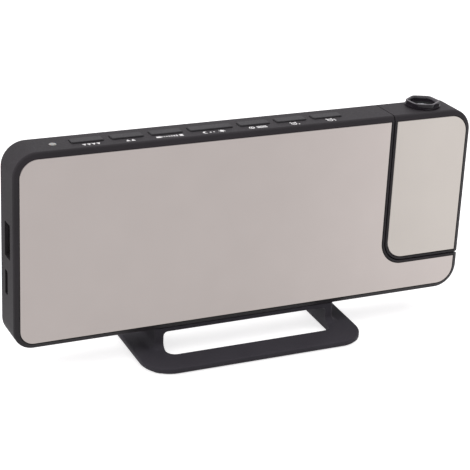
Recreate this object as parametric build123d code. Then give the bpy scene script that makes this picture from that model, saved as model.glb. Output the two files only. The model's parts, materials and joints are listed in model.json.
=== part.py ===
from build123d import *
import math
import os

# A mirror-fronted projection alarm clock: a thin case leaning back on a ring-shaped stand, with
# a projector arm that fills its upper right corner and swings about a hinge near the arm's top.
#
# Lengths are in millimetres. Most pieces are drawn in the case frame: X to the right from the
# middle of the case, Y backwards from the mirror face, Z up from the underside of the case.
# The last step leans them back and stands them on the table, where the row frame has its origin
# under the middle of the stand.

# ---------------------------------------------------------------- driving sizes: case
case_width = 190.0
case_height = 76.8
case_depth = 17.2
case_corner = 9.3
lower_left_corner = 7.6      # the case's lower left corner is a little tighter
wall = 1.6
rear_edge_round = 1.9
cover_thickness = 2.0        # height of the rear cover, up to the parting line
cover_wall = 1.6
lean_angle = 2.6             # degrees that the case leans back

# Slanting rim round the mirrors
rim_width = 2.15
rim_setback = 1.1
rim_edge_round = 1.2
split_rim = 1.0              # flat rim beside the gap between case and arm
mirror_thickness = 1.2
mirror_fit = 0.1             # gap round a mirror in its pocket
mirror_glue = 0.05
mirror_edge_break = 0.3
floor_thickness = 1.35       # wall behind a mirror

# ---------------------------------------------------------------- driving sizes: projector arm
arm_width = 35.25
arm_front_bottom = 15.4      # Z of the arm's lower end, at the mirror face
arm_corner = 8.2             # radius of the arm's lower left corner
split_gap = 0.4
split_edge_round = 0.25      # along the gap, on the front
split_end_round = 1.4        # corners of case and arm at the gap's right end
hinge_below_top = 10.8       # from the case's top down to the arm's hinge

hinge_barrel_radius = 3.5
hinge_bore_radius = 2.3
hinge_flange_radius = 4.8
hinge_flange_thickness = 1.4
hinge_barrel_inner_reach = 2.0
fixed_fit = 0.02             # radial gap of a piece that stays put
running_fit = 0.06           # radial gap of a piece that turns or slides
thrust_gap = 0.1
washer_thickness = 0.6
retainer_thickness = 0.8
retainer_slot_width = 1.6
barrel_end_length = 1.6      # barrel beyond the retainer

# ---------------------------------------------------------------- driving sizes: projector optics
lens_axis_inset = 17.6       # from the right end to the projector's optical axis
lens_axis_y = 9.9
focus_ring_corner_radius = 6.75
focus_ring_corner_round = 2.6
focus_ring_wall = 0.8
focus_ring_height = 2.2
focus_ring_sides = 6
focus_ring_turn = 35.5       # degrees, where the ring happens to stand
focus_ring_top_break = 0.15
focus_flange_radius = 7.1
focus_flange_height = 0.5
focus_mouth_depth = 1.6
focus_hub_radius = 4.8
focus_lip_radius = 5.5
focus_lip_height = 0.8
keeper_gap = 0.35
lens_barrel_radius = 4.2
lens_barrel_wall = 0.6
lens_barrel_length = 16.1
lens_barrel_rise = 0.5       # barrel's top above the case's top
lens_edge_height = 1.2
lens_bulge = 0.5
lens_drop = 0.3
focus_travel = 0.5

housing_width = 16.0
housing_below_top = 10.8     # from the case's top down to the light tunnel
housing_height = 32.0
housing_sleeve = 8.0
housing_wall = 2.0
housing_rear_gap = 0.15
lcd_above_lamp = 12.0
lcd_thickness = 1.5
condenser_above_lamp = 6.0
condenser_edge = 1.0
condenser_bulge = 2.0
led_radius = 2.5
led_body_height = 3.0
led_top_break = 1.2
projector_board_thickness = 1.2

# ---------------------------------------------------------------- driving sizes: buttons
button_names = ("down", "up", "project", "snooze", "mode", "alarm_one", "alarm_two")
snooze_extra = 4.9           # how much longer the snooze key is than the others
button_depth = 4.5
button_spacing = 3.15        # between one button and the next
first_button_inset = 24.0    # from the left end to the first button
last_button_to_arm = 20.5    # from the last button to the arm's side
button_corner = 0.8
button_proud = 0.5
button_top_break = 0.25
button_gap = 0.25
button_sunk = 3.4            # button below the case's top
flange_reach = 0.7
flange_thickness = 0.8
flange_gap = 0.05
button_travel = 0.35
switch_gap = 0.05
switch_side = 4.5
switch_height = 2.0
plunger_radius = 1.0
plunger_height = 0.8
button_board_thickness = 1.2
button_board_depth = 10.0
button_board_left_overhang = 13.4
button_board_right_overhang = 3.5
rib_thickness = 1.2
rib_height = 3.0
rib_count = 5

# ---------------------------------------------------------------- driving sizes: electronics
board_front = 9.7
board_thickness = 1.6
board_left_gap = 4.0         # from the left end to the board
board_arm_gap = 25.75        # from the board to the arm's side
board_bottom = 9.5
board_below_ribs = 3.0
board_corner = 1.5
display_width = 96.0
display_height = 34.0
display_behind_mirror = 0.2
display_fit = 0.3
digit_pitch = 21.5
digit_width = 15.0
digit_height = 26.0
segment_width = 2.6
segment_depth = 0.6
segment_fit = 0.05
segment_end_gap = 0.4        # between the ends of neighbouring light bars and the digit's corners
colon_radius = 1.4
colon_spread = 10.0

usb_centre_z = 41.6
usb_width = 13.1
usb_thickness = 5.7
usb_length = 14.0
usb_shell = 0.35
usb_corner = 0.6
usb_opening_gap = 0.3
usb_tongue_width = 11.2
usb_tongue_thickness = 1.8
usb_tongue_seat = 0.6        # between the tongue and the shell's front wall
usb_tongue_recess = 0.8
socket_setback = 0.1
socket_sink = 1.1            # how far the sockets sit into notches in the board
socket_notch_gap = 0.2
inlet_centre_z = 24.35
inlet_width = 9.1
inlet_thickness = 2.5
inlet_length = 5.6
inlet_shell = 0.3
inlet_corner = 0.7
inlet_tongue_width = 5.2
inlet_tongue_thickness = 0.6
inlet_tongue_recess = 0.8

sensor_to_buttons = 6.85     # from the sensor's middle to the first button
sensor_y = 7.9
sensor_window_radius = 1.4
sensor_window_dome = 0.15
sensor_flange_radius = 2.0
sensor_flange_height = 0.8
sensor_size = 2.0
sensor_height = 0.9
sensor_gap = 0.2

cell_radius = 10.0
cell_thickness = 3.2
cell_inset = 39.0            # from the board's left end to the cell's middle
cell_z = 40.0
cell_fit = 0.2
cell_edge_break = 0.5
holder_side = 25.0
holder_corner = 2.0
holder_base = 0.5
holder_wall_height = 2.4
clip_width = 5.0
clip_thickness = 0.3
door_width = 26.4
door_height = 30.4
door_corner = 1.8
door_gap = 0.3
door_plate = 0.9
door_seat_gap = 0.05
door_ledge = 1.5
door_nail_radius = 3.2
door_nail_depth = 0.5

speaker_inset = 14.25        # from the arm's side to the speaker's middle
speaker_z = 40.0
speaker_radius = 9.8
speaker_depth = 5.0
speaker_rim = 1.2
speaker_fit = 0.1
speaker_seat_wall = 0.9
speaker_seat_height = 1.5
magnet_radius = 6.0
magnet_thickness = 2.2
magnet_edge_break = 0.4
cone_thickness = 0.5
cone_depth = 2.2
cone_setback = 0.8           # from the grille to the cone's edge
dust_cap_radius = 2.6
grille_radius = 8.0
grille_slots = 7
grille_slot_width = 1.2
grille_pitch = 2.2

chip_inset = 42.0            # from the board's right end to the chip's middle
chip_z = 44.0
chip_side = 10.0
chip_height = 1.4
chip_corner_cut = 1.0
crystal_below_chip = 10.0
crystal_length = 8.0
crystal_radius = 1.2
capacitor_inset = 22.0       # from the board's right end to the capacitor
capacitor_z = 26.0
capacitor_radius = 2.5
capacitor_height = 3.6

# ---------------------------------------------------------------- driving sizes: fasteners
boss_radius = 2.6
cover_pad_radius = 3.2
lip_gap = 0.15
lip_wall = 0.8
lip_height = 1.2
screw_radius = 1.0
screw_hole_radius = 1.3
screw_head_radius = 2.1
screw_head_height = 0.9
screw_head_break = 0.35
screw_head_gap = 0.2
screw_length = 10.0
recess_width = 0.5
recess_length = 2.4
recess_depth = 0.5
board_screw_length = 7.0
board_post_radius = 2.2

# Screws, by their distance from the nearest ends of the case, the arm or the board
screw_from_left_end = 7.5
screw_from_right_end = 6.5
screw_from_arm = 9.0
screw_from_bottom = 5.6
screw_from_top = 8.0
arm_screw_from_side = 6.75
arm_screw_from_bottom = 11.0
board_screw_from_left = 14.0
board_screw_from_right = 6.0
board_screw_from_ends = 4.5

# ---------------------------------------------------------------- driving sizes: stand
stand_width = 93.6
stand_depth = 47.8
stand_side_bar = 11.6
stand_end_bar = 10.4
stand_thickness = 2.5
stand_corner = 11.5
stand_hole_corner = 3.6
stand_top_round = 0.9
stand_bottom_break = 0.4
case_clearance = 11.4        # table to the case's lower front edge
case_front_to_stand_middle = 8.15
post_thickness = 3.3
saddle_depth = 15.0
saddle_thickness = 1.6
arch_round = 1.8
post_edge_round = 1.2
post_foot_round = 3.0
pad_radius = 3.6
pad_thickness = 1.0
pad_proud = 0.4
pad_inset_x = 6.6
pad_inset_y = 6.4
stand_screw_x = 24.0
stand_boss_height = 9.0
stand_screw_length = 9.0
stand_pilot_length = 8.0

# ---------------------------------------------------------------- sizes worked out from these
middle_y = case_depth / 2
shell_depth = case_depth - cover_thickness
cover_inner = case_depth - cover_wall
mirror_pocket = mirror_thickness + mirror_glue
floor_back = mirror_pocket + floor_thickness
arm_left = case_width / 2 - arm_width
case_right = arm_left - split_gap          # the case's side beside the arm
hinge_height = case_height - hinge_below_top
arm_radius = math.hypot(hinge_height - arm_front_bottom, middle_y)
lens_axis_x = case_width / 2 - lens_axis_inset
housing_top = case_height - housing_below_top
housing_bottom = housing_top - housing_height
display_centre_x = (case_right - case_width / 2) / 2
display_centre_z = case_height / 2
speaker_x = arm_left - speaker_inset
button_bottom = case_height - button_sunk
plunger_top = button_bottom - button_travel - switch_gap
button_board_top = plunger_top - plunger_height - switch_height
button_board_bottom = button_board_top - button_board_thickness
first_button_left = first_button_inset - case_width / 2
button_row = arm_left - last_button_to_arm - first_button_left
spacings = button_spacing * (len(button_names) - 1)
button_length = (button_row - spacings - snooze_extra) / len(button_names)
sensor_x = first_button_left - sensor_to_buttons
board_left = board_left_gap - case_width / 2
board_right = arm_left - board_arm_gap
board_back = board_front + board_thickness
socket_back = board_front + socket_sink
socket_mouth = wall + socket_setback - case_width / 2
board_top = button_board_bottom - rib_height - board_below_ribs
cell_x = board_left + cell_inset
lens_base = case_height + thrust_gap       # underside of the focus ring's flange

# Places of the screws, as X and Z
case_screws = ((screw_from_left_end - case_width / 2, screw_from_bottom),
               (display_centre_x, screw_from_bottom),
               (arm_left - screw_from_arm, screw_from_bottom),
               (case_width / 2 - screw_from_right_end, screw_from_bottom),
               (screw_from_left_end - case_width / 2, case_height - screw_from_top),
               (arm_left - screw_from_arm, case_height - screw_from_top))
arm_screws = ((arm_left + arm_screw_from_side, arm_front_bottom + arm_screw_from_bottom),
              (case_width / 2 - screw_from_right_end, arm_front_bottom + arm_screw_from_bottom),
              (case_width / 2 - screw_from_right_end, case_height - screw_from_top))
board_screws = tuple((x, z) for x in (board_left + board_screw_from_left,
                                      board_right - board_screw_from_right)
                     for z in (board_bottom + board_screw_from_ends, board_top - board_screw_from_ends))


# ---------------------------------------------------------------- helpers
def slab(outline, front, back):
    """Extrude an X-Z outline between two depths behind the mirror face."""
    return extrude(Plane.XZ.offset(-front) * outline, amount=front - back)


def tower(outline, bottom, top):
    """Extrude an X-Y outline between two heights."""
    return extrude(Pos(0, 0, bottom) * outline, amount=top - bottom)


def rod(x, z, radius, front, back):
    """A round bar along Y."""
    return slab(Pos(x, z) * Circle(radius), front, back)


def axle(radius, left, right):
    """A round bar along X, on the arm's hinge axis."""
    bar = Cylinder(radius, right - left, align=(Align.CENTER, Align.CENTER, Align.MIN))
    return Pos(left, middle_y, hinge_height) * Rot(Y=90) * bar


def lens_rod(radius, bottom, top):
    """A round bar along Z, on the projector's optical axis."""
    return tower(Pos(lens_axis_x, lens_axis_y) * Circle(radius), bottom, top)


def brick(x_range, y_range, z_range):
    """A box from its lowest to its highest corner."""
    low = (x_range[0], y_range[0], z_range[0])
    size = (x_range[1] - x_range[0], y_range[1] - y_range[0], z_range[1] - z_range[0])
    return Pos(*low) * Box(*size, align=(Align.MIN, Align.MIN, Align.MIN))


def screw(length):
    """A pan-head screw with a cross recess, its head's top at the origin and facing +Z."""
    hanging = (Align.CENTER, Align.CENTER, Align.MAX)
    head = Cylinder(screw_head_radius, screw_head_height, align=hanging)
    head = chamfer(head.edges().filter_by(GeomType.CIRCLE).sort_by(Axis.Z)[-1], screw_head_break)
    shank = Cylinder(screw_radius, length, align=hanging)
    bar = Box(recess_length, recess_width, recess_depth, align=hanging)
    return head + Pos(0, 0, -screw_head_height) * shank - bar - Rot(Z=90) * bar


def case_outline(inset=0.0):
    """The rounded rectangle that case and arm make together, drawn in by an inset."""
    outline = Rectangle(case_width - 2 * inset, case_height - 2 * inset)
    corners = outline.vertices().sort_by(lambda corner: corner.X + corner.Y)
    outline = fillet(corners[1:], case_corner - inset)
    lower_left = outline.vertices().sort_by_distance(corners[0])[0]
    return Pos(0, case_height / 2) * fillet(lower_left, lower_left_corner - inset)


def swing_envelope(grow):
    """The space that the arm sweeps as it turns: a drum about the hinge with a rounded left edge."""
    left = arm_left - grow
    drum = axle(arm_radius + grow, left, case_width / 2 + case_corner)
    edge = drum.edges().filter_by(GeomType.CIRCLE).sort_by(Axis.X)[0]
    return fillet(edge, arm_corner + grow)


def keep_case(solid, inset=0.0):
    """The part of a solid that belongs to the case, clear of the swinging arm."""
    return solid - swing_envelope(split_gap + inset)


def keep_arm(solid, inset=0.0):
    """The part of a solid that belongs to the arm."""
    return solid & swing_envelope(-inset)


def split_end_notch():
    """The ring whose removal rounds the corners of case and arm at the gap's right end."""
    middle_x = case_width / 2 - split_end_round
    arm_z = hinge_height - arm_radius + split_end_round
    case_z = hinge_height - arm_radius - split_gap - split_end_round
    profile = Pos(middle_x + split_end_round, (arm_z + case_z) / 2) * Rectangle(
        2 * split_end_round, arm_z - case_z)
    for z in (arm_z, case_z):
        profile -= Pos(middle_x, z) * Circle(split_end_round)
    hinge_axis = Axis((0, middle_y, hinge_height), (1, 0, 0))
    return revolve(Plane.XZ.offset(-middle_y) * profile, hinge_axis)


# ---------------------------------------------------------------- shells and mirrors
def rimmed_block():
    """The full front shape, with its slanting rim and softened outer edge."""
    block = slab(case_outline(), 0, shell_depth)
    front = block.faces().sort_by(Axis.Y)[0]
    block = chamfer(front.edges(), rim_width, rim_setback, reference=front)
    rim_edges = [e for e in block.edges() if abs(e.center().Y - rim_setback) < 0.01]
    return fillet(rim_edges, rim_edge_round)


def front_shell(keep):
    """A front frame: rim, pocket for the mirror, floor behind it and outer walls."""
    pocket = slab(case_outline(rim_width - mirror_fit), 0, mirror_pocket)
    cavity = slab(case_outline(wall), floor_back, shell_depth)
    shell = keep(rimmed_block()) - split_end_notch()
    rim = (Plane.XZ * case_outline(rim_width)).wire()
    front_edges = shell.faces().sort_by(Axis.Y)[0].edges()
    split_edges = [e for e in front_edges if rim.distance_to(e.center()) > split_gap / 2]
    shell = fillet(split_edges, split_edge_round)
    return shell - keep(pocket, split_rim - mirror_fit) - keep(cavity, wall)


def rear_shell(keep, screws):
    """A rear cover: rounded plate, locating lip and screw seats."""
    plate = slab(case_outline(), shell_depth, case_depth)
    plate = fillet(plate.faces().sort_by(Axis.Y)[-1].edges(), rear_edge_round)
    hollow = slab(case_outline(wall), shell_depth, cover_inner)
    lip_outside = wall + lip_gap
    lip_inside = lip_outside + lip_wall
    lip_front = shell_depth - lip_height
    lip = keep(slab(case_outline(lip_outside), lip_front, cover_inner), lip_outside)
    lip -= keep(slab(case_outline(lip_inside), lip_front, cover_inner), lip_inside)
    cover = keep(plate) - split_end_notch() - keep(hollow, wall) + lip
    head_seat = case_depth - screw_head_gap - screw_head_height
    for x, z in screws:
        cover -= rod(x, z, boss_radius + lip_gap, lip_front, shell_depth)
        cover += keep(rod(x, z, cover_pad_radius, shell_depth, cover_inner), wall + lip_gap)
        cover -= rod(x, z, screw_hole_radius, shell_depth, case_depth)
        cover -= rod(x, z, screw_head_radius + screw_head_gap, head_seat, case_depth)
    return cover


def cover_screws(screws):
    """The screws that hold a rear cover."""
    head_top = case_depth - screw_head_gap
    return [Pos(x, head_top, z) * Rot(X=-90) * screw(screw_length) for x, z in screws]


def with_bosses(shell, keep, screws):
    """A front frame with the bosses that its cover screws run into."""
    bore_front = case_depth - screw_head_gap - screw_head_height - screw_length - screw_head_gap
    for x, z in screws:
        shell += keep(rod(x, z, boss_radius, floor_back, shell_depth), split_rim)
    for x, z in screws:
        shell -= rod(x, z, screw_radius + fixed_fit, bore_front, shell_depth)
    return shell


def mirror_panel(keep):
    """A mirrored acrylic panel that fills its pocket flush with the face."""
    panel = keep(slab(case_outline(rim_width), 0, mirror_thickness), split_rim)
    return chamfer(panel.faces().sort_by(Axis.Y)[0].edges(), mirror_edge_break)


# ---------------------------------------------------------------- buttons
def button_places():
    """Name, left end and length of each button, from left to right."""
    places = []
    left = first_button_left
    for name in button_names:
        length = button_length + snooze_extra * (name == "snooze")
        places.append((name, left, length))
        left += length + button_spacing
    return places


def button_cap(left, length):
    """A raised key with the flange that keeps it under the case's top."""
    centre = Pos(left + length / 2, middle_y)
    cap = tower(centre * RectangleRounded(length, button_depth, button_corner),
                button_bottom, case_height + button_proud)
    cap = chamfer(cap.faces().sort_by(Axis.Z)[-1].edges(), button_top_break)
    reach = 2 * (flange_reach + button_gap)
    flange_top = case_height - wall - flange_gap
    flange = tower(centre * Rectangle(length + reach, button_depth + reach),
                   flange_top - flange_thickness, flange_top)
    return cap + flange


def button_opening(left, length):
    """The hole in the case's top that a button moves in."""
    outline = RectangleRounded(length + 2 * button_gap, button_depth + 2 * button_gap,
                               button_corner + button_gap)
    return tower(Pos(left + length / 2, middle_y) * outline, case_height - 2 * wall, case_height + wall)


def tact_switches():
    """One push switch under each button."""
    switches = []
    for name, left, length in button_places():
        centre = Pos(left + length / 2, middle_y)
        body_top = button_board_top + switch_height
        body = tower(centre * Rectangle(switch_side, switch_side), button_board_top, body_top)
        switches.append(body + tower(centre * Circle(plunger_radius), body_top, plunger_top))
    return switches


def button_board_span():
    """Left and right ends of the button board."""
    left = first_button_left - button_board_left_overhang
    name, last_left, last_length = button_places()[-1]
    return left, last_left + last_length + button_board_right_overhang


def button_board():
    """The strip of circuit board under the buttons."""
    left, right = button_board_span()
    y_front = middle_y - button_board_depth / 2
    return brick((left, right), (y_front, y_front + button_board_depth),
                 (button_board_bottom, button_board_top))


def button_board_ribs():
    """Ribs behind the mirror floor that carry the button board."""
    left, right = button_board_span()
    step = (right - left - 2 * rib_thickness) / (rib_count - 1)
    y_back = middle_y + button_board_depth / 2
    ribs = []
    for i in range(rib_count):
        x = left + rib_thickness + i * step
        ribs.append(brick((x - rib_thickness / 2, x + rib_thickness / 2), (floor_back, y_back),
                          (button_board_bottom - rib_height, button_board_bottom)))
    return ribs


# ---------------------------------------------------------------- display
def segment_outlines(grow):
    """The bars of four seven-segment digits and the colon, as X-Z outlines."""
    width = segment_width + 2 * grow
    bar_length = digit_width - segment_width + 2 * (grow - segment_end_gap)
    upright_length = (digit_height - segment_width) / 2 + 2 * (grow - segment_end_gap)
    half_x = (digit_width - segment_width) / 2
    half_z = (digit_height - segment_width) / 2

    def bar(length):
        tip = width / 2
        half = length / 2
        return make_face(Polyline((-half, 0), (-half + tip, tip), (half - tip, tip), (half, 0),
                                  (half - tip, -tip), (-half + tip, -tip), close=True))

    outlines = []
    for i in range(4):
        colon_room = digit_pitch / 8 if i > 1 else -digit_pitch / 8
        x = display_centre_x + (i - 1.5) * digit_pitch + colon_room
        for z in (-half_z, 0, half_z):
            outlines.append(Pos(x, display_centre_z + z) * bar(bar_length))
        for side in (-half_x, half_x):
            for z in (-half_z / 2, half_z / 2):
                outlines.append(Pos(x + side, display_centre_z + z) * Rot(Z=90) * bar(upright_length))
    for z in (-colon_spread / 2, colon_spread / 2):
        outlines.append(Pos(display_centre_x, display_centre_z + z) * Circle(colon_radius + grow))
    return outlines


def display_outline(grow=0.0):
    """Outline of the display block, or of the window that it stands in."""
    return Pos(display_centre_x, display_centre_z) * Rectangle(
        display_width + 2 * grow, display_height + 2 * grow)


def led_display():
    """The display block and the light bars set in its face."""
    face = mirror_pocket + display_behind_mirror
    block = slab(display_outline(), face, board_front)
    for outline in segment_outlines(segment_fit):
        block -= slab(outline, face, face + segment_depth)
    bars = [slab(outline, face, face + segment_depth) for outline in segment_outlines(0)]
    return block, bars


# ---------------------------------------------------------------- circuit board and sockets
def main_board():
    """The main circuit board, with its screw holes and the notches for the sockets."""
    board = slab(Pos((board_left + board_right) / 2, (board_bottom + board_top) / 2)
                 * RectangleRounded(board_right - board_left, board_top - board_bottom, board_corner),
                 board_front, board_back)
    for x, z in board_screws:
        board -= rod(x, z, screw_hole_radius, board_front, board_back)
    for z, width, length in ((usb_centre_z, usb_width, usb_length),
                             (inlet_centre_z, inlet_width, inlet_length)):
        reach = width / 2 + socket_notch_gap
        board -= brick((-case_width / 2, socket_mouth + length + socket_notch_gap),
                       (board_front, board_back), (z - reach, z + reach))
    return board


def board_fixings():
    """The screws that hold the main board."""
    head_top = board_back + screw_head_height
    return [Pos(x, head_top, z) * Rot(X=-90) * screw(board_screw_length) for x, z in board_screws]


def sideways(outline, left, right):
    """Extrude a Y-Z outline along X."""
    return extrude(Plane.YZ.offset(left) * outline, amount=right - left)


def usb_profile(grow):
    """Section of the charging socket across X, about its middle."""
    return Pos(socket_back - usb_thickness / 2, usb_centre_z) * RectangleRounded(
        usb_thickness + 2 * grow, usb_width + 2 * grow, usb_corner)


def usb_socket():
    """The charging socket's steel shell and its contact tongue."""
    back = socket_mouth + usb_length
    shell = sideways(usb_profile(0), socket_mouth, back)
    shell -= sideways(usb_profile(-usb_shell), socket_mouth, back - usb_shell)
    tongue_y = socket_back - usb_thickness + usb_shell + usb_tongue_seat
    tongue = brick((socket_mouth + usb_tongue_recess, back - usb_shell),
                   (tongue_y, tongue_y + usb_tongue_thickness),
                   (usb_centre_z - usb_tongue_width / 2, usb_centre_z + usb_tongue_width / 2))
    return shell, tongue


def inlet_profile(grow):
    """Section of the power inlet: a flat slot with two cut corners."""
    half_width = inlet_width / 2 + grow
    half_depth = inlet_thickness / 2 + grow
    cut = inlet_corner
    return Pos(socket_back - inlet_thickness / 2, inlet_centre_z) * make_face(Polyline(
        (half_depth, -half_width), (half_depth, half_width), (-half_depth + cut, half_width),
        (-half_depth, half_width - cut), (-half_depth, -half_width + cut),
        (-half_depth + cut, -half_width), close=True))


def power_inlet():
    """The power inlet's steel shell and its contact tongue."""
    back = socket_mouth + inlet_length
    shell = sideways(inlet_profile(0), socket_mouth, back)
    shell -= sideways(inlet_profile(-inlet_shell), socket_mouth, back - inlet_shell)
    middle = socket_back - inlet_thickness / 2
    tongue = brick((socket_mouth + inlet_tongue_recess, back - inlet_shell),
                   (middle - inlet_tongue_thickness / 2, middle + inlet_tongue_thickness / 2),
                   (inlet_centre_z - inlet_tongue_width / 2, inlet_centre_z + inlet_tongue_width / 2))
    return shell, tongue


def board_parts():
    """The larger pieces on the back of the main board."""
    chip_x = board_right - chip_inset
    chip = slab(Pos(chip_x, chip_z) * Rectangle(chip_side, chip_side),
                board_back, board_back + chip_height)
    corner = chip.edges().filter_by(Axis.Y).sort_by(Axis.X)[0]
    crystal = Rot(Y=90) * Cylinder(crystal_radius, crystal_length)
    crystal = Pos(chip_x, board_back + crystal_radius, chip_z - crystal_below_chip) * crystal
    capacitor = rod(board_right - capacitor_inset, capacitor_z, capacitor_radius,
                    board_back, board_back + capacitor_height)
    return chamfer(corner, chip_corner_cut), crystal, capacitor


# ---------------------------------------------------------------- light sensor
def sensor_window():
    """A clear light guide set in the case's top."""
    place = Pos(sensor_x, sensor_y)
    foot = button_board_top + sensor_height + sensor_gap
    guide = tower(place * Circle(sensor_window_radius), foot, case_height + sensor_window_dome)
    guide = chamfer(guide.edges().filter_by(GeomType.CIRCLE).sort_by(Axis.Z)[-1], sensor_window_dome)
    flange_top = case_height - wall
    return guide + tower(place * Circle(sensor_flange_radius), flange_top - sensor_flange_height, flange_top)


def light_sensor():
    """The sensor chip under the light guide."""
    return tower(Pos(sensor_x, sensor_y) * Rectangle(sensor_size, sensor_size),
                 button_board_top, button_board_top + sensor_height)


# ---------------------------------------------------------------- back-up battery
def battery_holder():
    """A cradle on the back of the board with a round seat for the cell."""
    body = slab(Pos(cell_x, cell_z) * RectangleRounded(holder_side, holder_side, holder_corner),
                board_back, board_back + holder_base + holder_wall_height)
    return body - rod(cell_x, cell_z, cell_radius + cell_fit, board_back + holder_base,
                      board_back + holder_base + holder_wall_height)


def coin_cell():
    """A coin cell, with its can's rounded rim."""
    back = board_back + holder_base + cell_thickness
    cell = rod(cell_x, cell_z, cell_radius, board_back + holder_base, back)
    return chamfer(cell.faces().sort_by(Axis.Y)[0].edges(), cell_edge_break)


def cell_clip():
    """The sprung steel strip across the cell, down to the cradle at both ends."""
    top = board_back + holder_base + cell_thickness
    seat = board_back + holder_base + holder_wall_height
    reach = holder_side / 2
    strip = brick((cell_x - clip_width / 2, cell_x + clip_width / 2), (top, top + clip_thickness),
                  (cell_z - reach, cell_z + reach))
    for side in (-1, 1):
        edge = cell_z + side * reach
        inner = edge - side * (reach - cell_radius - cell_fit)
        strip += brick((cell_x - clip_width / 2, cell_x + clip_width / 2), (seat, top),
                       (min(edge, inner), max(edge, inner)))
    return strip


def door_opening():
    """The stepped hole in the rear cover that the battery door closes."""
    place = Pos(cell_x, cell_z)
    outer = place * RectangleRounded(door_width + 2 * door_gap, door_height + 2 * door_gap,
                                     door_corner + door_gap)
    inner = place * Rectangle(door_width - 2 * door_ledge + 2 * door_gap,
                              door_height - 2 * door_ledge + 2 * door_gap)
    step = case_depth - door_plate - door_seat_gap
    return slab(outer, step, case_depth) + slab(inner, cover_inner, case_depth)


def battery_door():
    """The lift-off door, with a plug that locates it and a hollow for a fingernail."""
    place = Pos(cell_x, cell_z)
    plate = slab(place * RectangleRounded(door_width, door_height, door_corner),
                 case_depth - door_plate, case_depth)
    plug = slab(place * Rectangle(door_width - 2 * door_ledge, door_height - 2 * door_ledge),
                cover_inner, case_depth - door_plate)
    nail = rod(cell_x, cell_z + door_height / 2 - door_nail_radius, door_nail_radius,
               case_depth - door_nail_depth, case_depth)
    return plate + plug - nail


# ---------------------------------------------------------------- speaker
def speaker():
    """Basket, cone and magnet of the speaker, facing the slots in the rear cover."""
    back = cover_inner
    front = back - speaker_depth
    basket = rod(speaker_x, speaker_z, speaker_radius, front, back)
    basket -= rod(speaker_x, speaker_z, speaker_radius - speaker_rim, front + speaker_rim, back)
    magnet = rod(speaker_x, speaker_z, magnet_radius, front - magnet_thickness, front)
    magnet = chamfer(magnet.faces().sort_by(Axis.Y)[0].edges(), magnet_edge_break)
    outer = speaker_radius - speaker_rim
    rim_y = back - cone_setback
    deep_y = rim_y - cone_depth
    profile = make_face(Polyline(
        (dust_cap_radius, deep_y), (outer, rim_y), (outer, rim_y + cone_thickness),
        (dust_cap_radius, deep_y + cone_thickness), (0, deep_y + 2 * cone_thickness),
        (0, deep_y), close=True))
    cone = Pos(speaker_x, 0, speaker_z) * revolve(profile, Axis.Y)
    return basket, cone, magnet


def speaker_grille():
    """Slots that get shorter towards the sides of a round field."""
    slots = []
    for i in range(grille_slots):
        offset = (i - (grille_slots - 1) / 2) * grille_pitch
        half = math.sqrt(grille_radius ** 2 - offset ** 2)
        outline = Rot(Z=90) * SlotOverall(2 * half, grille_slot_width)
        slots.append(slab(Pos(speaker_x + offset, speaker_z) * outline, cover_inner, case_depth))
    return slots


# ---------------------------------------------------------------- case assembly
def main_front_frame():
    """The case's front frame with everything moulded into it."""
    frame = with_bosses(front_shell(keep_case), keep_case, case_screws)
    frame -= slab(display_outline(display_fit), 0, floor_back)
    for x, z in board_screws:
        post = rod(x, z, board_post_radius, floor_back, board_front)
        pilot_front = board_back - board_screw_length - screw_head_gap
        frame += post - rod(x, z, screw_radius + fixed_fit, pilot_front, board_front)
    for rib in button_board_ribs():
        frame += rib
    for name, left, length in button_places():
        frame -= button_opening(left, length)
    window = Pos(sensor_x, sensor_y) * Circle(sensor_window_radius + fixed_fit)
    frame -= tower(window, case_height - 2 * wall, case_height + wall)
    outside = -case_width / 2 - wall
    inside = -case_width / 2 + 2 * wall
    frame -= sideways(usb_profile(usb_opening_gap), outside, inside)
    frame -= sideways(inlet_profile(usb_opening_gap), outside, inside)
    frame -= axle(hinge_barrel_radius + fixed_fit, case_right - 2 * wall, case_right + split_gap)
    for x in (-stand_screw_x, stand_screw_x):
        place = Pos(x, middle_y)
        frame += tower(place * Circle(boss_radius), wall / 2, stand_boss_height)
        frame -= tower(place * Circle(screw_radius + fixed_fit), 0, stand_pilot_length)
    return frame


def main_rear_cover():
    """The case's rear cover with its battery hole, grille and speaker seat."""
    cover = rear_shell(keep_case, case_screws) - door_opening()
    seat_inner = speaker_radius + speaker_fit
    seat = rod(speaker_x, speaker_z, seat_inner + speaker_seat_wall,
               cover_inner - speaker_seat_height, cover_inner)
    seat -= rod(speaker_x, speaker_z, seat_inner, cover_inner - speaker_seat_height, cover_inner)
    cover += seat
    for slot in speaker_grille():
        cover -= slot
    return cover


def hinge_parts():
    """Fixed barrel, friction washer and retaining ring of the arm's hinge."""
    wall_inside = case_right - wall
    arm_wall_inside = arm_left + wall
    washer_end = arm_wall_inside + thrust_gap + washer_thickness
    retainer_start = washer_end + thrust_gap
    retainer_end = retainer_start + retainer_thickness
    flange_left = wall_inside - hinge_flange_thickness
    barrel_left = flange_left - hinge_barrel_inner_reach
    barrel_right = retainer_end + barrel_end_length
    barrel = axle(hinge_barrel_radius, barrel_left, barrel_right)
    barrel += axle(hinge_flange_radius, flange_left, wall_inside)
    barrel -= axle(hinge_bore_radius, barrel_left, barrel_right)
    washer = axle(hinge_flange_radius, arm_wall_inside + thrust_gap / 2, washer_end)
    washer -= axle(hinge_barrel_radius + running_fit, arm_wall_inside, washer_end)
    retainer = axle(hinge_flange_radius, retainer_start, retainer_end)
    retainer -= axle(hinge_barrel_radius, retainer_start, retainer_end)
    slot = brick((retainer_start, retainer_end),
                 (middle_y - retainer_slot_width / 2, middle_y + retainer_slot_width / 2),
                 (hinge_height, hinge_height + 2 * hinge_flange_radius))
    return barrel, washer, retainer - slot


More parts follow.
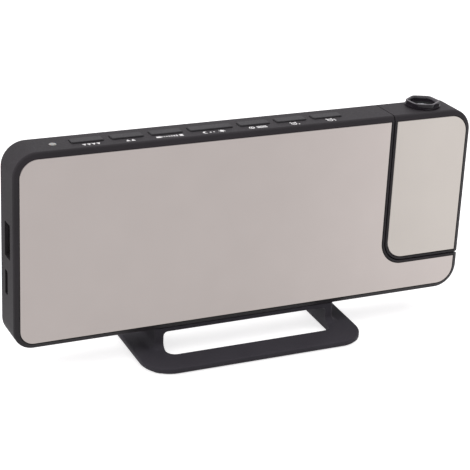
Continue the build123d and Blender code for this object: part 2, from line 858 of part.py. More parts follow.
# ---------------------------------------------------------------- projector arm
def arm_front_frame():
    """The arm's front frame, with holes for the hinge and the focus ring."""
    frame = with_bosses(front_shell(keep_arm), keep_arm, arm_screws)
    frame -= axle(hinge_barrel_radius + running_fit, arm_left - split_gap, arm_left + 2 * wall)
    return frame - lens_rod(focus_hub_radius + running_fit, case_height - 2 * wall, case_height + wall)


def arm_rear_cover():
    """The arm's rear cover, its lip notched round the focus ring's keeper."""
    notch = lens_rod(focus_lip_radius + keeper_gap, case_height - 3 * wall, case_height - wall)
    return rear_shell(keep_arm, arm_screws) - notch


def focus_ring():
    """Six-sided finger ring with a skirt, a hub through the arm's top and a keeper lip."""
    place = Pos(lens_axis_x, lens_axis_y)
    lost_to_rounding = focus_ring_corner_round * (1 / math.cos(math.pi / focus_ring_sides) - 1)
    hexagon = RegularPolygon(focus_ring_corner_radius + lost_to_rounding,
                             focus_ring_sides, rotation=focus_ring_turn)
    hexagon = fillet(hexagon.vertices(), focus_ring_corner_round)
    ring_top = case_height + focus_ring_height
    ring = tower(place * hexagon, lens_base, ring_top)
    ring = chamfer(ring.faces().sort_by(Axis.Z)[-1].edges(), focus_ring_top_break)
    ring += lens_rod(focus_flange_radius, lens_base, lens_base + focus_flange_height)
    lip_top = case_height - wall - thrust_gap
    ring += lens_rod(focus_hub_radius, lip_top, lens_base)
    ring += lens_rod(focus_lip_radius, lip_top - focus_lip_height, lip_top)
    ring -= lens_rod(lens_barrel_radius + running_fit, lip_top - focus_lip_height, ring_top)
    return ring - tower(place * offset(hexagon, -focus_ring_wall), ring_top - focus_mouth_depth, ring_top)


def lens_barrel():
    """The tube that carries the projection lens up and down."""
    top = case_height + lens_barrel_rise
    tube = lens_rod(lens_barrel_radius, top - lens_barrel_length, top)
    return tube - lens_rod(lens_barrel_radius - lens_barrel_wall, top - lens_barrel_length, top)


def domed_lens(radius, edge, bulge, base):
    """A round lens, flat below and with a spherical bulge above its edge."""
    dome = (radius ** 2 + bulge ** 2) / (2 * bulge)
    lens = lens_rod(radius, base, base + edge + bulge)
    return lens & Pos(lens_axis_x, lens_axis_y, base + edge + bulge - dome) * Sphere(dome)


def projection_lens():
    """The lens at the barrel's mouth."""
    base = case_height + lens_barrel_rise - lens_drop - lens_bulge - lens_edge_height
    radius = lens_barrel_radius - lens_barrel_wall
    return domed_lens(radius, lens_edge_height, lens_bulge, base)


def housing_cavity_size():
    """Width and depth of the light tunnel."""
    depth = cover_inner - housing_rear_gap - floor_back
    return housing_width - 2 * housing_wall, depth - 2 * housing_wall


def projector_housing():
    """The light tunnel, from the lamp at its foot to the sleeve that guides the lens barrel."""
    y_back = cover_inner - housing_rear_gap
    x_left = lens_axis_x - housing_width / 2
    block = brick((x_left, x_left + housing_width), (floor_back, y_back), (housing_bottom, housing_top))
    width, depth = housing_cavity_size()
    y_middle = (floor_back + y_back) / 2
    tunnel = tower(Pos(lens_axis_x, y_middle) * Rectangle(width, depth), housing_bottom,
                   housing_top - housing_sleeve)
    return block - tunnel - lens_rod(lens_barrel_radius + running_fit, housing_bottom, housing_top)


def projector_optics():
    """Condenser lens, image panel, lamp and lamp board inside the tunnel."""
    width, depth = housing_cavity_size()
    panel_bottom = housing_bottom + lcd_above_lamp
    y_middle = (floor_back + cover_inner - housing_rear_gap) / 2
    panel = tower(Pos(lens_axis_x, y_middle) * Rectangle(width, depth),
                  panel_bottom, panel_bottom + lcd_thickness)
    condenser = domed_lens(depth / 2, condenser_edge, condenser_bulge,
                           housing_bottom + condenser_above_lamp)
    condenser = Pos(0, y_middle - lens_axis_y, 0) * condenser
    board = tower(Pos(lens_axis_x, y_middle) * Rectangle(housing_width, depth + 2 * housing_wall),
                  housing_bottom - projector_board_thickness, housing_bottom)
    lamp = lens_rod(led_radius, housing_bottom, housing_bottom + led_body_height)
    lamp = chamfer(lamp.faces().sort_by(Axis.Z)[-1].edges(), led_top_break)
    return condenser, panel, lamp, board


# ---------------------------------------------------------------- stand, in the row frame
def lean_back(piece):
    """Take a piece from the case frame to its place above the table."""
    return Pos(0, -case_front_to_stand_middle, case_clearance) * Rot(X=-lean_angle) * piece


def on_post_foot(edge, ring_top, hole_side):
    """Whether an edge of the stand runs along the foot of a post, on top of the ring."""
    middle = edge.center()
    level = abs(middle.Z - ring_top) < 0.01
    beside_hole = hole_side + 0.01 < abs(middle.X) < hole_side + post_thickness + 0.01
    return level and beside_hole and abs(middle.Y) < saddle_depth


def stand_foot():
    """The flat ring on the table, with the two posts and the saddle that carry the case."""
    ring_top = pad_proud + stand_thickness
    hole_width = stand_width - 2 * stand_side_bar
    hole_depth = stand_depth - 2 * stand_end_bar
    ring = tower(RectangleRounded(stand_width, stand_depth, stand_corner), pad_proud, ring_top)
    ring = fillet(ring.faces().sort_by(Axis.Z)[-1].edges(), stand_top_round)
    ring = chamfer(ring.faces().sort_by(Axis.Z)[0].edges(), stand_bottom_break)
    ring -= tower(RectangleRounded(hole_width, hole_depth, stand_hole_corner), pad_proud, ring_top)
    saddle_width = hole_width + 2 * post_thickness
    saddle = Pos(0, -case_clearance / 2) * Rectangle(saddle_width, case_clearance)
    opening = Pos(0, -saddle_thickness - case_clearance / 2) * Rectangle(hole_width, case_clearance)
    opening = fillet(opening.vertices().group_by(Axis.Y)[-1], arch_round)
    saddle_front = middle_y - saddle_depth / 2
    arch = slab(saddle - opening, saddle_front, saddle_front + saddle_depth)
    uprights = arch.edges().filter_by(Axis.Z).group_by(Axis.X)
    arch = fillet(uprights[0] + uprights[-1], post_edge_round)
    below = brick((-case_width, case_width), (-case_width, case_width), (-case_width, pad_proud))
    foot = ring + (lean_back(arch) - below)
    corner_edges = [e for e in foot.edges() if on_post_foot(e, ring_top, hole_width / 2)]
    foot = fillet(corner_edges, post_foot_round)
    for x in (-stand_screw_x, stand_screw_x):
        hole = tower(Pos(x, middle_y) * Circle(screw_hole_radius), -saddle_thickness, 0)
        foot -= lean_back(hole)
    for x, y in pad_places():
        foot -= tower(Pos(x, y) * Circle(pad_radius), 0, pad_thickness)
    return foot


def pad_places():
    """Middles of the four rubber pads."""
    x = stand_width / 2 - pad_inset_x
    y = stand_depth / 2 - pad_inset_y
    return ((-x, -y), (x, -y), (-x, y), (x, y))


def stand_pads():
    """Rubber pads let into the ring's underside."""
    return [tower(Pos(x, y) * Circle(pad_radius), 0, pad_thickness) for x, y in pad_places()]


def stand_screws():
    """The screws up through the saddle into the case, in the case frame."""
    head_top = -saddle_thickness - screw_head_height
    return [Pos(x, middle_y, head_top) * Rot(X=180) * screw(stand_screw_length)
            for x in (-stand_screw_x, stand_screw_x)]


# ---------------------------------------------------------------- all nodes
def group(solids):
    """Separate solids that share one node."""
    return Compound(list(solids))


def case_frame_nodes():
    """Every node that leans with the case, by name."""
    display, bars = led_display()
    usb_shell_piece, usb_tongue = usb_socket()
    inlet_shell_piece, inlet_tongue = power_inlet()
    chip, crystal, capacitor = board_parts()
    basket, cone, magnet = speaker()
    barrel, washer, retainer = hinge_parts()
    condenser, panel, lamp, lamp_board = projector_optics()
    nodes = {
        "main_front_frame": main_front_frame(),
        "main_rear_cover": main_rear_cover(),
        "main_mirror": mirror_panel(keep_case),
        "rear_cover_screws": group(cover_screws(case_screws)),
        "led_display_module": display,
        "display_segments": group(bars),
        "main_circuit_board": main_board(),
        "board_screws": group(board_fixings()),
        "clock_chip": chip,
        "timing_crystal": crystal,
        "supply_capacitor": capacitor,
        "usb_charging_socket": usb_shell_piece,
        "usb_socket_tongue": usb_tongue,
        "power_inlet_socket": inlet_shell_piece,
        "power_inlet_tongue": inlet_tongue,
        "button_board": button_board(),
        "tact_switches": group(tact_switches()),
        "light_sensor_window": sensor_window(),
        "light_sensor": light_sensor(),
        "battery_holder": battery_holder(),
        "coin_cell": coin_cell(),
        "coin_cell_clip": cell_clip(),
        "battery_door": battery_door(),
        "speaker_basket": basket,
        "speaker_cone": cone,
        "speaker_magnet": magnet,
        "hinge_barrel": barrel,
        "hinge_friction_washer": washer,
        "hinge_retaining_ring": retainer,
        "arm_front_frame": arm_front_frame(),
        "arm_rear_cover": arm_rear_cover(),
        "arm_mirror": mirror_panel(keep_arm),
        "arm_cover_screws": group(cover_screws(arm_screws)),
        "focus_ring": focus_ring(),
        "lens_barrel": lens_barrel(),
        "projection_lens": projection_lens(),
        "projector_housing": projector_housing(),
        "condenser_lens": condenser,
        "projector_image_panel": panel,
        "projector_lamp": lamp,
        "projector_board": lamp_board,
        "stand_screws": group(stand_screws()),
    }
    for name, left, length in button_places():
        nodes["button_" + name] = button_cap(left, length)
    return nodes


def all_nodes():
    """Every node in its place above the table."""
    nodes = {name: lean_back(piece) for name, piece in case_frame_nodes().items()}
    nodes["stand_foot"] = stand_foot()
    nodes["stand_pads"] = group(stand_pads())
    return nodes


os.makedirs("parts", exist_ok=True)
for node_name, node in all_nodes().items():
    export_step(node, os.path.join("parts", node_name + ".step"))
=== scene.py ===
import json
import math

import bmesh
import bpy
from mathutils import Euler, Matrix, Vector


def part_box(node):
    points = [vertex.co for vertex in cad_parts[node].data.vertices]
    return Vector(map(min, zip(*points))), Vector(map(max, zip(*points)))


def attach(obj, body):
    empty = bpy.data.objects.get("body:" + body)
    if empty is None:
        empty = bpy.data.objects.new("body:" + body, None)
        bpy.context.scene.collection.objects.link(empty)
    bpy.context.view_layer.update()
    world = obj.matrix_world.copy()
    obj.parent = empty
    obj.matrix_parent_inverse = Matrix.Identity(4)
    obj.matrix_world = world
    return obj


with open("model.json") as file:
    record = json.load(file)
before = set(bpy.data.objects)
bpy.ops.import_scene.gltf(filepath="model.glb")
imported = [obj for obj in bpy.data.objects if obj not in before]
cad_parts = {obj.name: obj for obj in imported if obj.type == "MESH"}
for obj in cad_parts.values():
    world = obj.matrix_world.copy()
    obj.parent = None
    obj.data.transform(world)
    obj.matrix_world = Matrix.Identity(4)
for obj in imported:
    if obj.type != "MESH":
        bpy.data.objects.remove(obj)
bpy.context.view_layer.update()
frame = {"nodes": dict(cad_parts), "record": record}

# A mirror-fronted projection alarm clock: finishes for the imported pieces, the printed key marks,
# the studio floor, the lamps and the camera. Lengths are in metres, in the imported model's frame.

MM = 0.001
WHITE = (1.0, 1.0, 1.0, 1.0)

# ---------------------------------------------------------------- the case's own frame
# The case leans back on its stand. These repeat its sizes, so that a place on it can be given
# from its middle, its mirror face and its underside.
LEAN = math.radians(2.6)
CASE_FRONT_Y = -8.15 * MM
CASE_CLEARANCE = 11.4 * MM
CASE_HEIGHT = 76.8 * MM
CASE_FRAME = Matrix.Translation((0, CASE_FRONT_Y, CASE_CLEARANCE)) @ Matrix.Rotation(-LEAN, 4, "X")

# ---------------------------------------------------------------- the focus ring
FOCUS_RIM_DEPTH = 1.5 * MM                   # how far down from its top the painted highlight on the rim reaches
FOCUS_RIM_BLUR = 0.1 * MM                    # the painted highlight fades over this, either way
FOCUS_HIGHLIGHT_FACING = (0.45, 0.9)            # how far up a face looks where the painted highlight starts, and where it is full
FOCUS_WALL_RADIUS = 6.07 * MM                # between its inner and its outer faces
FOCUS_WALL_BLUR = 0.05 * MM
FOCUS_MOUTH_DEPTH = 1.6 * MM
FOCUS_SHADE_DEPTH = 0.72 * FOCUS_MOUTH_DEPTH  # painted light on the mouth's wall fades out from here down to its floor

# ---------------------------------------------------------------- camera
CAMERA_PLACE = (-0.2531, -0.5097, 0.3010)
CAMERA_TURN = (65.546, -3.599, -24.399)      # degrees about X, Y and Z
LENS_LENGTH = 123.18                         # mm, as is the sensor's width
SENSOR_WIDTH = 36.0
NEAREST_SEEN = 0.01


def make_camera():
    """The camera, at its place and with its own lens."""
    data = bpy.data.cameras.new("camera")
    data.sensor_width = SENSOR_WIDTH
    data.lens = LENS_LENGTH
    data.clip_start = NEAREST_SEEN
    camera = bpy.data.objects.new("camera", data)
    camera.location = CAMERA_PLACE
    camera.rotation_euler = Euler([math.radians(a) for a in CAMERA_TURN], "XYZ")
    bpy.context.scene.collection.objects.link(camera)
    bpy.context.scene.camera = camera


# ---------------------------------------------------------------- nodes and meshes
GRAIN_ROUGHNESS = 0.55                       # the strength of each finer layer of a grain
GRAIN_SPAN = (0.3, 0.7)                      # nearly all of a grain's values lie in this
TONE_STOPS = (0.32, 0.68)                    # the grain's values at the dark and the light tone


def linear(code):
    """An sRGB hex colour as linear RGBA."""
    channels = [int(code[i:i + 2], 16) / 255 for i in (1, 3, 5)]
    return (*[c / 12.92 if c <= 0.04045 else ((c + 0.055) / 1.055) ** 2.4 for c in channels], 1.0)


def add_node(tree, kind, links=None, values=None, **settings):
    """Add a shader node.

    links are the sockets that feed its inputs, and values are set on inputs, both by the input's
    name or number. settings are properties of the node, or inputs by name.
    """
    node = tree.nodes.new(kind)
    for name, value in settings.items():
        socket = node.inputs.get(name.replace("_", " "))
        if socket is None:
            setattr(node, name, value)
        else:
            socket.default_value = value
    for name, value in (values or {}).items():
        node.inputs[name].default_value = value
    for name, source in (links or {}).items():
        tree.links.new(source, node.inputs[name])
    return node


def new_material(name):
    """An empty node material, and its tree."""
    material = bpy.data.materials.new(name)
    material.use_nodes = True
    material.node_tree.nodes.clear()
    return material, material.node_tree


def grain(tree, size_mm, detail=2.0):
    """A value that varies in the piece's own space, in lumps of about the given size."""
    place = add_node(tree, "ShaderNodeTexCoord")
    noise = add_node(tree, "ShaderNodeTexNoise", {"Vector": place.outputs["Object"]},
                     Scale=1 / (size_mm * MM), Detail=detail, Roughness=GRAIN_ROUGHNESS)
    return noise.outputs["Fac"]


def mottle(tree, dark, light, size_mm):
    """Patches of two hex tones that run into each other: their colour, and the grain behind it."""
    patches = grain(tree, size_mm)
    ramp = add_node(tree, "ShaderNodeValToRGB", {"Fac": patches})
    for stop, position, code in zip(ramp.color_ramp.elements, TONE_STOPS, (dark, light)):
        stop.position = position
        stop.color = linear(code)
    return ramp.outputs["Color"], patches


def cover(tree, colour, gloss_grain, roughness, bumps=None, bump_strength=0.0, bump_depth=0.0,
          **surface):
    """Cover a piece in a colour, with a roughness that a grain moves between two values.

    bumps is the grain that the skin's relief follows. surface holds settings of the shader.
    """
    rough = add_node(tree, "ShaderNodeMapRange", {"Value": gloss_grain}, From_Min=GRAIN_SPAN[0],
                     From_Max=GRAIN_SPAN[1], To_Min=roughness[0], To_Max=roughness[1])
    skin = add_node(tree, "ShaderNodeBsdfPrincipled",
                    {"Base Color": colour, "Roughness": rough.outputs["Result"]}, **surface)
    if bumps is not None:
        relief = add_node(tree, "ShaderNodeBump", {"Height": bumps}, Strength=bump_strength,
                          Distance=bump_depth)
        tree.links.new(relief.outputs["Normal"], skin.inputs["Normal"])
    add_node(tree, "ShaderNodeOutputMaterial", {"Surface": skin.outputs["BSDF"]})


def add_piece(name, mesh, material):
    """Put a mesh into the scene as an object, in its material."""
    data = bpy.data.meshes.new(name)
    mesh.to_mesh(data)
    mesh.free()
    data.materials.append(material)
    piece = bpy.data.objects.new(name, data)
    bpy.context.scene.collection.objects.link(piece)
    return piece


# ---------------------------------------------------------------- materials
ABS_IOR = 1.53
ACRYLIC_IOR = 1.49
EPOXY_IOR = 1.55
GLASS_IOR = 1.52
NITRILE_IOR = 1.52
INK_IOR = 1.5


def textured_abs(name, dark, light, roughness=(0.45, 0.57), gloss=0.25):
    """ABS moulded in a spark-eroded tool: a satin skin that scatters highlights, with a fine grain.

    The real grain is about 0.1 mm. It is drawn at 0.5 mm, the finest that shows at this distance.
    """
    material, tree = new_material(name)
    colour, _ = mottle(tree, dark, light, size_mm=22.0)
    texture = grain(tree, size_mm=0.5, detail=1.0)
    cover(tree, colour, texture, roughness, bumps=texture, bump_strength=0.25,
          bump_depth=0.03 * MM, IOR=ABS_IOR, Specular_IOR_Level=gloss)
    return material


def polished_abs(name, dark, light):
    """ABS moulded in a polished tool: black with a clear gloss and faint sink marks."""
    material, tree = new_material(name)
    colour, sinks = mottle(tree, dark, light, size_mm=4.0)
    cover(tree, colour, sinks, roughness=(0.16, 0.26), bumps=sinks, bump_strength=0.15,
          bump_depth=0.05 * MM, IOR=ABS_IOR)
    return material


def ring_abs_with_painted_light(name, dark, light, mouth_painted_light, rim_painted_highlight, ring_box):
    """ABS in a ring that fingers turn: dark glossy sides, with painted light on the mouth's wall and a
    painted highlight on the rim.
    """
    material, tree = new_material(name)
    colour, cloud = mottle(tree, dark, light, size_mm=4.0)
    low, high = ring_box
    place = add_node(tree, "ShaderNodeTexCoord")
    facing = add_node(tree, "ShaderNodeSeparateXYZ", {"Vector": place.outputs["Normal"]}).outputs["Z"]
    height = add_node(tree, "ShaderNodeSeparateXYZ", {"Vector": place.outputs["Object"]}).outputs["Z"]
    level = add_node(tree, "ShaderNodeVectorMath", {0: place.outputs["Object"]}, {1: (1, 1, 0)},
                     operation="MULTIPLY")
    axis = ((low.x + high.x) / 2, (low.y + high.y) / 2, 0)
    reach = add_node(tree, "ShaderNodeVectorMath", {0: level.outputs["Vector"]}, {1: axis},
                     operation="DISTANCE").outputs["Value"]
    rim = high.z - FOCUS_RIM_DEPTH
    # Each coat has two values that both have to be right. It is absent where one is at its first
    # limit, and full where both are at their second.
    coats = (
        # The mouth's coat is painted light on its inner wall, fading out towards its floor.
        (mouth_painted_light, ((reach, FOCUS_WALL_RADIUS + FOCUS_WALL_BLUR, FOCUS_WALL_RADIUS - FOCUS_WALL_BLUR),
                  (height, high.z - FOCUS_MOUTH_DEPTH, high.z - FOCUS_SHADE_DEPTH))),
        # The rim's coat is a painted highlight on the faces near its top that look up.
        (rim_painted_highlight, ((facing, *FOCUS_HIGHLIGHT_FACING), (height, rim - FOCUS_RIM_BLUR, rim + FOCUS_RIM_BLUR))),
    )
    for over, limits in coats:
        one, other = (add_node(tree, "ShaderNodeMapRange", {"Value": value}, From_Min=none, From_Max=full)
                      for value, none, full in limits)
        share = add_node(tree, "ShaderNodeMath", {0: one.outputs["Result"], 1: other.outputs["Result"]},
                         operation="MULTIPLY")
        coat = add_node(tree, "ShaderNodeMixRGB", {"Fac": share.outputs["Value"], "Color1": colour},
                        Color2=linear(over))
        colour = coat.outputs["Color"]
    cover(tree, colour, cloud, roughness=(0.16, 0.24), IOR=ABS_IOR, Specular_IOR_Level=0.28)
    return material


def silvered_acrylic(name, dark, light):
    """Acrylic sheet with a part-mirroring film behind it: a warm grey reflection, slightly rippled."""
    material, tree = new_material(name)
    colour, haze = mottle(tree, dark, light, size_mm=14.0)
    ripple = grain(tree, size_mm=60.0, detail=1.0)
    cover(tree, colour, haze, roughness=(0.13, 0.15), bumps=ripple, bump_strength=0.2,
          bump_depth=0.1 * MM, Metallic=1.0)
    return material


def plated_metal(name, dark, light, roughness):
    """Steel plated in a barrel: metal with small changes of tone and gloss from the bath."""
    material, tree = new_material(name)
    colour, stain = mottle(tree, dark, light, size_mm=1.6)
    cover(tree, colour, stain, roughness, Metallic=1.0)
    return material


def solder_resist(name, dark, light):
    """Glass-epoxy board under solder resist: glossy, with the weave just showing.

    The glass threads are about 0.5 mm apart. They are drawn at 0.8 mm, so that they show.
    """
    material, tree = new_material(name)
    colour, weave = mottle(tree, dark, light, size_mm=0.8)
    cover(tree, colour, weave, roughness=(0.25, 0.38), IOR=EPOXY_IOR)
    return material


def milky_acrylic(name, dark, light):
    """Opal acrylic: pale and slightly translucent."""
    material, tree = new_material(name)
    colour, cloud = mottle(tree, dark, light, size_mm=1.5)
    cover(tree, colour, cloud, roughness=(0.22, 0.34), IOR=ACRYLIC_IOR, Subsurface_Weight=0.2,
          Subsurface_Scale=1.0 * MM)
    return material


def polished_glass(name, tint, clear, ior, roughness, clearness=1.0):
    """Polished optical glass or clear acrylic, with a trace of haze."""
    material, tree = new_material(name)
    colour, haze = mottle(tree, tint, clear, size_mm=2.0)
    cover(tree, colour, haze, roughness, IOR=ior, Transmission_Weight=clearness)
    return material


def moulded_rubber(name, dark, light):
    """Nitrile rubber pads: dull and slightly dusty."""
    material, tree = new_material(name)
    colour, dust = mottle(tree, dark, light, size_mm=0.7)
    cover(tree, colour, dust, roughness=(0.75, 0.9), IOR=NITRILE_IOR)
    return material


def pad_printing_ink(name, dark, light):
    """Pad-printing ink: opaque and matt, thinner here and there where the pad lifted."""
    material, tree = new_material(name)
    colour, patches = mottle(tree, dark, light, size_mm=0.5)
    cover(tree, colour, patches, roughness=(0.5, 0.65), IOR=INK_IOR)
    return material


def finishes_by_slot():
    """One finish for each of the record's material slots."""
    return {
        "case_plastic": textured_abs("satin_abs_charcoal", "#2E2C2E", "#312E31", gloss=0.14),
        "button_plastic": textured_abs("satin_abs_keycap", "#302F31", "#333234",
                                       roughness=(0.37, 0.49), gloss=0.18),
        "mirror_acrylic": silvered_acrylic("silvered_acrylic_sheet", "#B1A9A6", "#B3ABA8"),
        "black_plastic": polished_abs("gloss_abs_black", "#0C0C0D", "#121213"),
        "display_diffuser": milky_acrylic("opal_acrylic", "#D8D6CE", "#E6E4DC"),
        "circuit_board": solder_resist("green_solder_resist", "#0E3D22", "#14522E"),
        "plated_steel": plated_metal("nickel_plated_steel", "#A9A8A6", "#BDBCBA", (0.24, 0.38)),
        "black_steel": plated_metal("black_zinc_steel", "#1B1B1D", "#29292B", (0.36, 0.5)),
        "lens_glass": polished_glass("polished_lens_glass", "#E9EFF2", "#F4F6F7", GLASS_IOR,
                                     (0.02, 0.04)),
        "clear_plastic": polished_glass("clear_acrylic", "#E4E2DE", "#F4F6F7", ACRYLIC_IOR,
                                        (0.12, 0.14)),
        "rubber": moulded_rubber("nitrile_rubber", "#161616", "#222121"),
    }


def finishes_by_node():
    """The pieces whose finish differs from the rest of their slot."""
    return {
        # The stand's ABS is drawn paler than the case's: painted light for the light that falls on the
        # foot.
        "stand_foot": textured_abs("satin_abs_stand_painted_light", "#39373C", "#3D3B40", roughness=(0.5, 0.62),
                                   gloss=0.08),
        # The ring's finish has a painted highlight on its rim and painted light in its mouth.
        "focus_ring": ring_abs_with_painted_light("gloss_abs_ring_painted_light", "#1F1B20", "#221E24", mouth_painted_light="#6A686B",
                                  rim_painted_highlight="#575457", ring_box=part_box("focus_ring")),
        "arm_mirror": silvered_acrylic("silvered_acrylic_arm_sheet", "#B1ABA6", "#B3ADA8"),
        # The lens is drawn opaque and pale grey: a painted reflection in place of what its glass would
        # reflect.
        "projection_lens": polished_glass("lens_glass_painted_reflection", "#9FA0A4", "#B2B3B7", GLASS_IOR,
                                          (0.3, 0.32), clearness=0.0),
        "light_sensor_window": milky_acrylic("opal_sensor_window", "#8F8E8B", "#A3A29F"),
        "usb_socket_tongue": textured_abs("moulded_polymer_tongue", "#A8A7A9", "#B2B1B3"),
    }


def dress_cad_pieces():
    """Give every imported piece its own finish, or else the finish of its material slot."""
    by_slot = finishes_by_slot()
    by_node = finishes_by_node()
    for part in frame["record"]["subparts"]:
        materials = frame["nodes"][part["node"]].data.materials
        materials.clear()
        materials.append(by_node.get(part["node"], by_slot[part["material_slot"]]))


# ---------------------------------------------------------------- printed key marks
# A mark is drawn in mm, with X to the right and Y to the back. Its middle is in line with its key's.
INK_THICKNESS = 0.02 * MM
INK_LIFT = 0.01 * MM
MARK_FRONT_TO_BACK = 3.9 * MM                # from the mirror face to a mark's middle
ROUND_STEPS = 20                             # straight edges round a circle
MOON_START = 50                              # degrees
MOON_SWEEP = 260
MOON_STEPS = 10
MOON_FULLNESS = 0.7                          # its thickness, as a share of its radius
SUN_RAYS = 8
RAY_START = 0.15                             # a ray's two ends, from the edge of the sun
RAY_END = 0.5
RAY_HALF_WIDTH = 0.14
DOT_RADIUS = 0.36


def on_circle(x, y, radius, degrees):
    """A point on a circle."""
    angle = math.radians(degrees)
    return (x + radius * math.cos(angle), y + radius * math.sin(angle))


def disc(x, y, radius):
    """A round outline."""
    return [on_circle(x, y, radius, 360 * i / ROUND_STEPS) for i in range(ROUND_STEPS)]


def bar(x, y, width, height):
    """A rectangle about its middle."""
    return [(x - width / 2, y - height / 2), (x + width / 2, y - height / 2),
            (x + width / 2, y + height / 2), (x - width / 2, y + height / 2)]


def triangle(x, y, width, height):
    """A triangle that points to the back, or to the front with a negative height."""
    return [(x - width / 2, y - height / 2), (x + width / 2, y - height / 2), (x, y + height / 2)]


def between(inner, outer):
    """The quads between two lines of points."""
    return [[inner[i], outer[i], outer[i + 1], inner[i + 1]] for i in range(len(inner) - 1)]


def band(x, y, outer, inner):
    """A band round a circle, as quads."""
    turns = [360 * i / ROUND_STEPS for i in range(ROUND_STEPS + 1)]
    return between([on_circle(x, y, inner, turn) for turn in turns],
                   [on_circle(x, y, outer, turn) for turn in turns])


def moon(x, y, radius):
    """A crescent, as quads."""
    inner, outer = [], []
    for i in range(MOON_STEPS + 1):
        turn = MOON_START + MOON_SWEEP * i / MOON_STEPS
        hollow = 1 - MOON_FULLNESS * math.sin(math.pi * i / MOON_STEPS)
        inner.append(on_circle(x, y, radius * hollow, turn))
        outer.append(on_circle(x, y, radius, turn))
    return between(inner, outer)


def sun(x, y, radius):
    """A disc with short rays."""
    shapes = [disc(x, y, radius)]
    for i in range(SUN_RAYS):
        turn = 360 * i / SUN_RAYS
        sides = [on_circle(x, y, RAY_HALF_WIDTH, turn + quarter) for quarter in (-90, 90)]
        right, left = ([on_circle(*side, radius + end, turn) for end in (RAY_START, RAY_END)]
                       for side in sides)
        shapes += between(left, right)
    return shapes


def beam(x, y, count):
    """Upright bars that get taller to the right."""
    return [bar(x + 1.0 * i, y, width=0.5, height=0.7 + 0.2 * i) for i in range(count)]


def alarm_clock(x, y, dots):
    """An alarm clock's dial with its hand and two bells, and a dot for each alarm's number."""
    shapes = band(x, y, outer=1.2, inner=0.82) + [bar(x, y + 0.15, width=0.36, height=0.75)]
    shapes += [disc(x + side, y + 1.25, DOT_RADIUS) for side in (-1.05, 1.05)]
    shapes += [disc(x + 1.9, y - 0.75 + 1.1 * i, DOT_RADIUS) for i in range(dots)]
    return shapes


def key_marks():
    """The outlines of each key's mark."""
    projector = [bar(-4.5, 0, width=1.8, height=1.45), disc(-3.3, 0, radius=0.45)]
    wall = [bar(4.5, 0, width=1.5, height=1.8)]
    stars = [disc(-1.7, -0.2, radius=0.42), disc(-0.3, -0.2, radius=0.34)]
    clock_face = band(-2.6, 0, outer=1.15, inner=0.72) + [bar(-2.6, 0.2, width=0.4, height=0.8)]
    menu = [bar(1.6, 0.72 * row, width=4.1, height=0.42) for row in (-1, 0, 1)]
    return {
        "down": [triangle(1.8 * i - 2.25, 0, width=1.55, height=-1.75) for i in range(4)],
        "up": [triangle(2.0 * i - 1.1, 0, width=1.7, height=1.75) for i in range(2)],
        "project": projector + beam(-2.3, 0, count=6) + wall,
        "snooze": moon(-3.6, 0, radius=1.15) + stars + sun(3.0, 0, radius=0.85),
        "mode": clock_face + menu,
        "alarm_one": alarm_clock(-0.4, -0.2, dots=1),
        "alarm_two": alarm_clock(-0.4, -0.2, dots=2),
    }


def key_middle_x(key):
    """Where a key's middle is along the case."""
    low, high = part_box("button_" + key)
    return (low.x + high.x) / 2


def print_key_marks(ink):
    """Pad-print a mark in front of each key, on the case's top."""
    for key, outlines in key_marks().items():
        mesh = bmesh.new()
        for outline in outlines:
            underside = mesh.faces.new([mesh.verts.new((x * MM, y * MM, 0)) for x, y in outline])
            grown = bmesh.ops.extrude_face_region(mesh, geom=[underside])
            lifted = [v for v in grown["geom"] if isinstance(v, bmesh.types.BMVert)]
            bmesh.ops.translate(mesh, verts=lifted, vec=(0, 0, INK_THICKNESS))
        bmesh.ops.recalc_face_normals(mesh, faces=mesh.faces)
        mesh.transform(CASE_FRAME @ Matrix.Translation(
            (key_middle_x(key), MARK_FRONT_TO_BACK, CASE_HEIGHT + INK_LIFT)))
        piece = add_piece("mark_" + key, mesh, ink)
        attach(piece, "clock_case")


# ---------------------------------------------------------------- studio
FLOOR_HALF_WIDTH = 3.0
FLOOR_LIFT = 0.7                             # what lifts the lit paper to white for the camera
PAPER_IN_GLOSS = 0.25                        # how much of the paper's own light gloss shows
POOL_GLOW = 0.914                            # the pool of light that gloss shows round the clock
POOL_ACROSS = (1.0, 0.56, 0.0)               # it gets stronger along this, between these places
POOL_ACROSS_ENDS = (-0.029, 0.136)
POOL_ACROSS_RISE = 1.37
POOL_BACK_ENDS = (-0.02, 0.10)               # and weaker towards the back, between these
POOL_BACK_FALL = 0.4
TENT_BRIGHT_SIDE = Vector((-0.35, 0.50, 0.79)).normalized()
TENT_RANGE = (0.1, 1.02)                     # its strength opposite the bright side, and there
TENT_TINT = (1.0, 0.975, 1.01, 1.0)
SOFTBOX_WIDTH = 0.6
SOFTBOXES = {                                # the place, the point it faces, and the power in W
    "right_softbox": ((0.42, -0.12, 0.55), (0.30, -0.20, 0.0), 2.4),
    "left_softbox": ((-0.9, 0.12, 0.35), (0.0, 0.0, 0.05), 4.0),
}


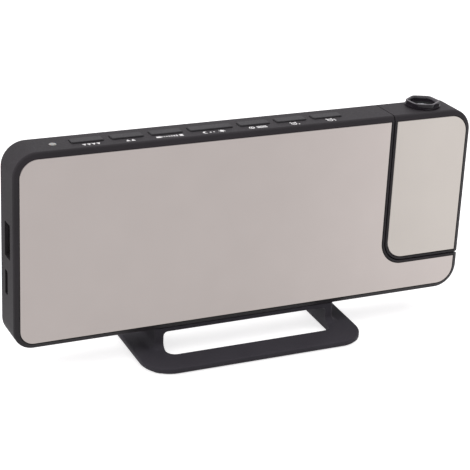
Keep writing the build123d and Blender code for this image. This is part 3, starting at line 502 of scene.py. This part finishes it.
def pool_of_light(tree):
    """A glow on the floor, which gets stronger to the right and weaker behind the clock."""
    place = add_node(tree, "ShaderNodeNewGeometry").outputs["Position"]
    across = add_node(tree, "ShaderNodeVectorMath", {0: place}, {1: POOL_ACROSS},
                      operation="DOT_PRODUCT")
    back = add_node(tree, "ShaderNodeSeparateXYZ", {"Vector": place})
    rise = add_node(tree, "ShaderNodeMapRange", {"Value": across.outputs["Value"]},
                    interpolation_type="SMOOTHSTEP", From_Min=POOL_ACROSS_ENDS[0],
                    From_Max=POOL_ACROSS_ENDS[1], To_Min=POOL_GLOW, To_Max=POOL_GLOW * POOL_ACROSS_RISE)
    fall = add_node(tree, "ShaderNodeMapRange", {"Value": back.outputs["Y"]},
                    interpolation_type="SMOOTHSTEP", From_Min=POOL_BACK_ENDS[0],
                    From_Max=POOL_BACK_ENDS[1], To_Min=1.0, To_Max=POOL_BACK_FALL)
    level = add_node(tree, "ShaderNodeMath", {0: rise.outputs["Result"], 1: fall.outputs["Result"]},
                     operation="MULTIPLY")
    glow = add_node(tree, "ShaderNodeEmission", {"Strength": level.outputs["Value"]}, Color=WHITE)
    return glow.outputs["Emission"]


def seamless_paper(name, dark, light):
    """Matt white background paper.

    To the camera it is lifted to white, with the clock's shadow on it. Gloss and glass show a part
    of its own light and the pool of light.
    """
    material, tree = new_material(name)
    colour, _ = mottle(tree, dark, light, size_mm=6.0)
    paper = add_node(tree, "ShaderNodeBsdfDiffuse", {"Color": colour}).outputs["BSDF"]
    rays = add_node(tree, "ShaderNodeLightPath")
    strength = add_node(tree, "ShaderNodeMath", {0: rays.outputs["Is Camera Ray"]}, {1: FLOOR_LIFT},
                        operation="MULTIPLY")
    lift = add_node(tree, "ShaderNodeEmission", {"Strength": strength.outputs["Value"]}, Color=WHITE)
    direct = add_node(tree, "ShaderNodeAddShader", {0: paper, 1: lift.outputs["Emission"]})
    dimmed = add_node(tree, "ShaderNodeMixShader", {2: paper}, {0: PAPER_IN_GLOSS})
    in_gloss = add_node(tree, "ShaderNodeAddShader",
                        {0: dimmed.outputs["Shader"], 1: pool_of_light(tree)})
    gloss_or_glass = add_node(tree, "ShaderNodeMath", {
        0: rays.outputs["Is Glossy Ray"], 1: rays.outputs["Is Transmission Ray"]}, operation="MAXIMUM")
    seen = add_node(tree, "ShaderNodeMixShader", {
        0: gloss_or_glass.outputs["Value"], 1: direct.outputs["Shader"], 2: in_gloss.outputs["Shader"]})
    add_node(tree, "ShaderNodeOutputMaterial", {"Surface": seen.outputs["Shader"]})
    return material


def make_floor():
    """A sheet of paper under the clock."""
    mesh = bmesh.new()
    bmesh.ops.create_grid(mesh, x_segments=1, y_segments=1, size=FLOOR_HALF_WIDTH)
    floor = add_piece("studio_floor", mesh, seamless_paper("white_seamless_paper", "#CDCCCB", "#D1D0CF"))


def make_world():
    """A white tent. The camera sees it plain white, and as light it is brighter on one side."""
    world = bpy.data.worlds.new("white_tent")
    world.use_nodes = True
    tree = world.node_tree
    tree.nodes.clear()
    rays = add_node(tree, "ShaderNodeLightPath")
    place = add_node(tree, "ShaderNodeTexCoord")
    side = add_node(tree, "ShaderNodeVectorMath", {0: place.outputs["Generated"]},
                    {1: TENT_BRIGHT_SIDE}, operation="DOT_PRODUCT")
    level = add_node(tree, "ShaderNodeMapRange", {"Value": side.outputs["Value"]},
                     From_Min=-1.0, From_Max=1.0, To_Min=TENT_RANGE[0], To_Max=TENT_RANGE[1])
    tent = add_node(tree, "ShaderNodeBackground", {"Strength": level.outputs["Result"]},
                    Color=TENT_TINT)
    white = add_node(tree, "ShaderNodeBackground", Color=WHITE, Strength=1.0)
    seen = add_node(tree, "ShaderNodeMixShader", {
        0: rays.outputs["Is Camera Ray"], 1: tent.outputs["Background"], 2: white.outputs["Background"]})
    add_node(tree, "ShaderNodeOutputWorld", {"Surface": seen.outputs["Shader"]})
    bpy.context.scene.world = world


def make_lamps():
    """Square area lamps, one over the right end and one beside the left. Gloss doesn't show them."""
    for name, (place, target, power) in SOFTBOXES.items():
        lamp = bpy.data.lights.new(name, "AREA")
        lamp.shape = "SQUARE"
        lamp.size = SOFTBOX_WIDTH
        lamp.energy = power
        holder = bpy.data.objects.new(name, lamp)
        holder.location = place
        holder.rotation_euler = (Vector(target) - Vector(place)).to_track_quat("-Z", "Y").to_euler()
        holder.visible_glossy = False
        bpy.context.scene.collection.objects.link(holder)


make_camera()
bpy.context.scene.view_settings.view_transform = "Standard"
dress_cad_pieces()
print_key_marks(pad_printing_ink("white_print_ink", "#D4D3D2", "#F2F1F0"))
make_floor()
make_world()
make_lamps()
